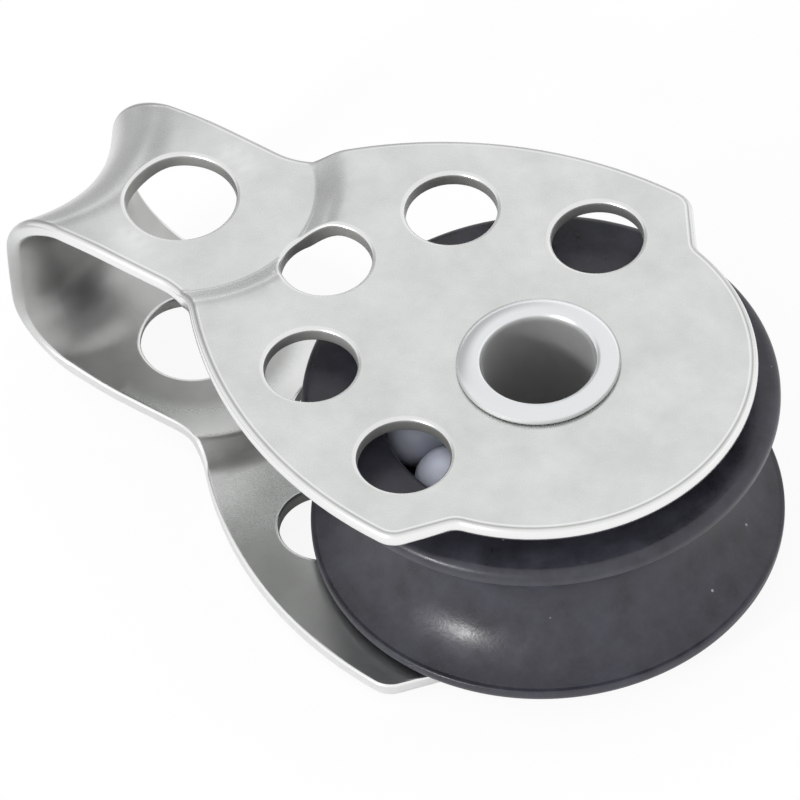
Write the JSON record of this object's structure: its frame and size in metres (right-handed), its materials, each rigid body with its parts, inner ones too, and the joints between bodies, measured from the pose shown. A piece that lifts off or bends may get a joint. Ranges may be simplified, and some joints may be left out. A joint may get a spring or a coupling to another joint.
{
  "type": "sailing block",
  "caption": "Small ball-bearing sailing block: stainless strap with a head eye, hollow rivet axle and a moulded sheave that turns on balls.",
  "frame": {"origin": "middle of the axle, halfway between the cheeks", "axes": "+Z along the axle, towards the cheek that faces up as it lies; the head eye is towards -X"},
  "size_m": [0.038, 0.0242, 0.0128],
  "materials": {
    "strap_stainless": "tumbled satin stainless sheet with rounded edges",
    "rivet_stainless": "smooth rolled stainless tube",
    "race_stainless": "turned stainless sleeve",
    "sheave_acetal": "moulded charcoal acetal, slightly satin",
    "ball_acetal": "ground acetal ball, bluish white"
  },
  "bodies": {
    "frame": {"strap_frame": "strap_stainless", "hollow_rivet": "rivet_stainless", "inner_race": "race_stainless"},
    "sheave": {"sheave": "sheave_acetal"},
    "upper_balls": {"upper_ball_1": "ball_acetal", "upper_ball_2": "ball_acetal", "upper_ball_3": "ball_acetal", "upper_ball_4": "ball_acetal", "upper_ball_5": "ball_acetal", "upper_ball_6": "ball_acetal", "upper_ball_7": "ball_acetal", "upper_ball_8": "ball_acetal", "upper_ball_9": "ball_acetal", "upper_ball_10": "ball_acetal", "upper_ball_11": "ball_acetal"},
    "lower_balls": {"lower_ball_1": "ball_acetal", "lower_ball_2": "ball_acetal", "lower_ball_3": "ball_acetal", "lower_ball_4": "ball_acetal", "lower_ball_5": "ball_acetal", "lower_ball_6": "ball_acetal", "lower_ball_7": "ball_acetal", "lower_ball_8": "ball_acetal", "lower_ball_9": "ball_acetal", "lower_ball_10": "ball_acetal", "lower_ball_11": "ball_acetal"}
  },
  "joints": [
    {"name": "sheave_spin", "type": "hinge", "parent": "frame", "child": "sheave", "pos_m": [0, 0, 0], "axis": [0, 0, 1], "continuous": true},
    {"name": "upper_ball_orbit", "type": "hinge", "parent": "frame", "child": "upper_balls", "pos_m": [0, 0, 0], "axis": [0, 0, 1], "continuous": true},
    {"name": "lower_ball_orbit", "type": "hinge", "parent": "frame", "child": "lower_balls", "pos_m": [0, 0, 0], "axis": [0, 0, 1], "continuous": true}
  ],
  "couplings": [
    {"joint": "upper_ball_orbit", "follows": "sheave_spin", "ratio": 0.6378},
    {"joint": "lower_ball_orbit", "follows": "sheave_spin", "ratio": 0.6378}
  ]
}
